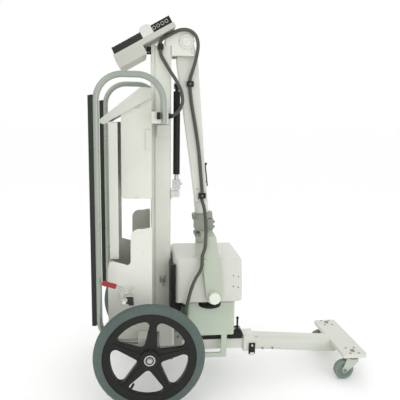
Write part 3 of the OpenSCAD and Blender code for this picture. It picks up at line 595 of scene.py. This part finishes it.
def wheel_parts(side, body):
    """Two beads on the rim's face, the valve on its lower spoke gap and a dark ring of painted shade round
    the axle nut.
    """
    name = SIDE_NAMES[side]
    out = NEAR if side < 0 else FAR
    centre = at(0, side * WHEEL_Y, WHEEL_Z)
    beads = Batch()
    for r, y in ((150.5, 13.2), (163.5, 14.6)):
        beads.torus(centre + out * y / 1000, out, r, 1.5, 160)
    beads.make(name + "_rim_beads", "rim_plastic", body)
    angle = math.radians(240)
    spoke = Vector((math.cos(angle), 0, math.sin(angle)))
    foot = centre + spoke * 0.139
    stem = Batch()
    stem.turn(foot, -spoke, [(4.4, 0), (4.4, 4), (3.6, 6), (3.5, 9)], 24)
    stem.turn(foot - spoke * 0.009, -spoke, [(4.3, 0), (4.5, 1), (4.5, 15), (3.8, 17)], 32,
              lambda a, r, h: r * (1 if int(a * 16 / math.pi) % 2 else 0.93))
    stem.make(name + "_valve", "black_rubber", body)
    # Painted shade: a thin dark ring on the hub cap's face stands in for the shadow in the recess round the
    # axle nut.
    well = Batch()
    shade_ring_profile = [(10.7, 23.4), (10.7, 24.0), (11.2, 24.4), (14.2, 24.4), (14.8, 24.0), (14.8, 23.4)]
    well.turn(centre, out, shade_ring_profile, 64, closed=True)
    well.make(name + "_hub_painted_shade", "dark_rubber_and_painted_shade", body, slot="black_rubber")


def caster_parts(side, roller, fork):
    """Axle nuts, the swivel's race and the moulded rings on both faces of the wheel."""
    name = SIDE_NAMES[side]
    y = side * CASTER_Y
    centre = at(CASTER_X - CASTER_TRAIL, y, CASTER_Z)
    nuts = Batch()
    for out in (NEAR, FAR):
        hex_nut(nuts, centre + out * 0.019, out, 7.4, 4.0, 3.2)
    nuts.make(name + "_caster_nuts", "screw_zinc", fork, slot="steel")
    race = Batch()
    race.torus(at(CASTER_X, y, 90.6), UP, 21.2, 1.8, 64)
    race.make(name + "_caster_race", "black_plastic", fork)
    hub = Batch()
    for out in (NEAR, FAR):
        for r in (17.5, 24.0):
            hub.torus(centre + out * 0.0091, out, r, 0.9, 64)
    hub.make(name + "_caster_rings", "caster_rubber", roller)


# ---------------------------------------------------------------- screws and small fittings
def fixings():
    """Screws, bolts and nuts on the frame and the leg."""
    base, zinc = Batch(), Batch()
    for s, out in SIDES:
        for z in (1290, 1300):
            pan_screw(base, at(164, s * 58.2, z), out, 2.8, 1.6)
        for x in (116, 172):
            socket_screw(base, at(x, s * 60, 1331), out, 3.2, 1.6)
        for x in (480, 523):
            socket_screw(zinc, at(x, s * 40.8, 92), out, 4.6, 2.2)
        for x in (-96, -62):
            socket_screw(base, at(x, s * 204, 430), out, 3.4, 2.4)
        for x, z in ((-100, 330), (-20, 330), (-20, 560)):
            base.turn(at(x, s * 200, z), out, [(4.2, 0), (4.0, 0.7), (3.0, 1.3), (1.2, 1.6)], 24)
        for x in (26, 62):
            pan_screw(base, at(x, s * 110, 1067), UP, 4.2, 2.2)
        for x in (812, 847):
            for y in (120, 168):
                socket_screw(zinc, at(x, s * y, 116), UP, 4.2, 2.0)
        hex_nut(zinc, at(CASTER_X, s * CASTER_Y, 116), UP, 9.5, 3.5, 5)
        for z in (560, 1000):
            pan_screw(base, at(-140.5, s * 130, z), BACK, 3.4, 1.6)
        for x in (-126, 70):
            socket_screw(zinc, at(x, s * 165, 188), DOWN, 4.4, 2.4)
    for x in (38, 78):
        for z in (982, 1013):
            pan_screw(base, at(x, -74, z), NEAR, 2.4, 1.2)
    for z in (944, 992):
        pan_screw(base, at(1, -156, z), NEAR, 2.6, 1.2)
    base.make("frame_screws", "white_paint", "base")
    zinc.make("leg_bolts", "screw_zinc", "base", slot="steel")


def moving_fixings():
    """Screws on the boom, the swivel clamp and the tank."""
    boom = Batch()
    for z in (-600, -560):
        for s, out in SIDES:
            pan_screw(boom, lean(-12, s * 27.5, z), out, 2.9, 3.4)
    for p in ((161, -48, 1176), (213, -48, 745)):
        pan_screw(boom, at(*p), NEAR, 3.0, 1.2)
    boom.make("boom_screws", "screw_zinc", "boom", slot="steel")

    clamp = Batch()
    for z in (616, 636):
        socket_screw(clamp, at(266, -22, z), FRONT, 4.6, 2.6)
    for x, y in ((205, -20), (205, 20), (232, -26), (232, 26)):
        socket_screw(clamp, at(x, y, 649), UP, 3.6, 2.6)
    clamp.make("clamp_screws", "screw_zinc", "fork", slot="steel")

    head = Batch()
    for s, out in SIDES:
        for x in (332, 352):
            for z in (394, 438):
                pan_screw(head, at(x, s * 120, z - x / 4 + 85), out, 2.9, 2.6)
    head.make("tank_screws", "screw_zinc", "head", slot="steel")


def small_fittings():
    """The leg clamp's cover, the brakes' rubber shoes and the column's lock plate."""
    cover = Batch()
    slab(cover, at(432, -49.1, 97), FRONT, UP, (27.6, 49.6), 1.0, 2)
    cover.make("leg_clamp_cover", "black_plastic", "base")
    for s, body in ((-1, "right_brake"), (1, "left_brake")):
        shoe = Batch()
        for x, y, z, size, rest in ((-70, 280.2, 409, (29, 25), (1.4, 6, 0.5)),
                                    (-64, 290.2, 398, (19, 9), (1.2, 2, 0.4))):
            if s < 0:
                slab(shoe, at(x, s * y, z), FRONT, UP, size, *rest)
            else:
                slab(shoe, at(x, s * y, z), UP, FRONT, size[::-1], *rest)
        shoe.make(body + "_shoe", "black_rubber", body)
    lock = Batch()
    slab(lock, at(56, -65.0, 414), FRONT, UP, (21, 30), 0.9, 4)
    lock.torus(at(60, -66.2, 421), NEAR, 6.0, 0.9, 40)
    slab(lock, at(60, -66.0, 421), FRONT, UP, (1.6, 7), 0.8, 0.5, 0.2)
    lock.make("column_lock_plate", "screw_zinc", "base", slot="steel")


def hub_covers():
    """Shallow domed discs in the pivot covers."""
    domes, ring = Batch(), Batch()
    for s, out in SIDES:
        centre = at(PIVOT_X, s * 65, PIVOT_Z)
        domes.turn(centre, out, [(17.6, 0), (17.6, 0.8), (15.5, 1.9), (10, 2.5), (4, 2.7), (1, 2.7)], 64)
        socket_screw(domes, centre + out * 0.0026, out, 4.4, 1.8)
        ring.torus(at(PIVOT_X, s * 67, PIVOT_Z), out, 20.5, 0.8, 72)
    domes.make("pivot_discs", "white_paint", "base")
    ring.make("pivot_rings", "grey_paint", "base")


def console_parts():
    """Glass, keys, side sockets, screws and lamps of the console; desk() counts from its rear edge."""
    along, out = desk.along, desk.out
    glass = Batch()
    slab(glass, desk(200, -45, -1.8), along, FAR, (55, 77), 1.5, 3)
    glass.make("display_glass", "screen", "console", slot="black_plastic")
    keys = Batch()
    for u in (208, 216, 224):
        for y in range(16, 81, 12):
            slab(keys, desk(u + 2, y + 4, -0.9), along, FAR, (3.6, 7.4), 2.3, 1.0, 0.5)
    keys.make("membrane_keys", "key_pale", "console", slot="white_paint")
    rings = Batch()
    for u in (170, 187, 204, 221):
        centre = desk(u, -98, -13)
        rings.turn(centre, NEAR, [(6.4, -0.2), (6.4, 0.8), (6.1, 1.2), (5.3, 1.2), (5.0, 0.8), (5.0, -0.2)],
                   40, closed=True)
    rings.make("side_sockets", "key_pale", "console", slot="white_paint")
    screws = Batch()
    for u in (12, 90):
        for y in (-84, 84):
            pan_screw(screws, desk(u, y, -79), -out, 3.2, 1.6)
    screws.make("console_screws", "screw_zinc", "console", slot="steel")
    lamps = Batch()
    for y in (-10, 0, 10):
        lamps.turn(desk(168, y, 0), out, [(2.2, 0), (2.1, 0.7), (1.6, 1.3), (0.7, 1.6)], 20)
    lamps.make("console_lamps", "key_amber", "console")


def head_parts():
    """The exit window with its cross lines, the lamp button and the latch's housing."""
    window = Batch()
    slab(window, at(COLLIMATOR_X, 0, 181.8), FRONT, NEAR, (96, 96), 4.6, 5, 0.6)
    window.make("exit_window", "window", "collimator", slot="green_case")
    lines = Batch()
    for a, b in ((FRONT, NEAR), (FAR, FRONT)):
        slab(lines, at(COLLIMATOR_X, 0, 177.3), a, b, (92, 0.8), 0.25, 0.3, 0.05)
    lines.make("field_lines", "black_plastic", "collimator")
    button = Batch()
    button.turn(at(349.2, 0, 240), FRONT, [(9.4, 0), (9.4, 2), (8.8, 3.2), (7.4, 3.8), (6.8, 3.2), (3, 3.0),
                (0.8, 3.0)], 40)
    button.make("lamp_button", "black_plastic", "collimator")
    housing = Batch()
    wedge = [(346, 173.8), (379, 173.8), (379, 186), (370, 197), (362, 197), (350, 190)]
    for y in (-66.4, -39.6):
        housing.add(*skin([[at(x, side, z) for x, z in wedge] for side in (y - 0.9, y + 0.9)]))
    for y in (-62.6, -43.4):
        slab(housing, at(377.4, y, 182), UP, FAR, (16, 7.2), 1.8, 0.8, 0.4)
    housing.make("latch_housing", "black_metal", "collimator", 30)


def frame_parts():
    """The bin's ribbed mat, the ends of the skid strips and the axle's weld beads."""
    mat = Batch()
    slab(mat, at(-70, 0, 304.2), FRONT, FAR, (140, 376), 3.0, 6, 0.8)
    for x in range(-134, -4, 9):
        slab(mat, at(x, 0, 307.0), FRONT, FAR, (4.2, 364), 1.6, 1.5, 0.7)
    mat.make("bin_mat", "dark_rubber_and_painted_shade", "base", slot="black_rubber")
    ends = Batch()
    for s in (-1, 1):
        ends.turn(at(-192.5, s * HANDLE_Y, 1118), UP, [(5.4, -1.5), (5.4, 0.5), (4.4, 2.0), (1.5, 2.4)], 24)
    ends.make("strip_ends", "black_rubber", "base")
    beads = Batch()
    for s, out in SIDES:
        beads.add(*skin(rippled(torus_rings(at(0, s * 191.6, WHEEL_Z), out, 16.6, 1.9, 96)), closed=True))
    beads.make("weld_beads", "cast_grey", "base")


def rippled(rings):
    """A weld bead's ripples: each ring swells a little in turn."""
    out = []
    for i, ring in enumerate(rings):
        middle = sum(ring, Vector()) / len(ring)
        swell = 1 + 0.16 * math.sin(i * 2.1)
        out.append([middle + (p - middle) * swell for p in ring])
    return out


FLOOR = 90  # half the side of the square floor, m


def floor():
    mesh = bpy.data.meshes.new("floor")
    corners = [(x * FLOOR, y * FLOOR, 0) for x, y in ((-1, -1), (1, -1), (1, 1), (-1, 1))]
    mesh.from_pydata(corners, [], [(0, 1, 2, 3)])
    ob = bpy.data.objects.new("floor", mesh)
    bpy.context.scene.collection.objects.link(ob)
    mesh.materials.append(finish_of("floor_paint", (0.995, 0.995, 0.995), 0.7, tone=0.004, mottle=0.6,
                                    grain=300, depth=0.00001))


camera()
studio()
coat_cad()
conduits()
for wheel_side, side_name in SIDE_NAMES.items():
    tyre(wheel_side, side_name + "_wheel")
    wheel_parts(wheel_side, side_name + "_wheel")
    caster_parts(wheel_side, side_name + "_roller", side_name + "_caster")
small_fittings()
fixings()
moving_fixings()
hub_covers()
console_parts()
head_parts()
frame_parts()
floor()
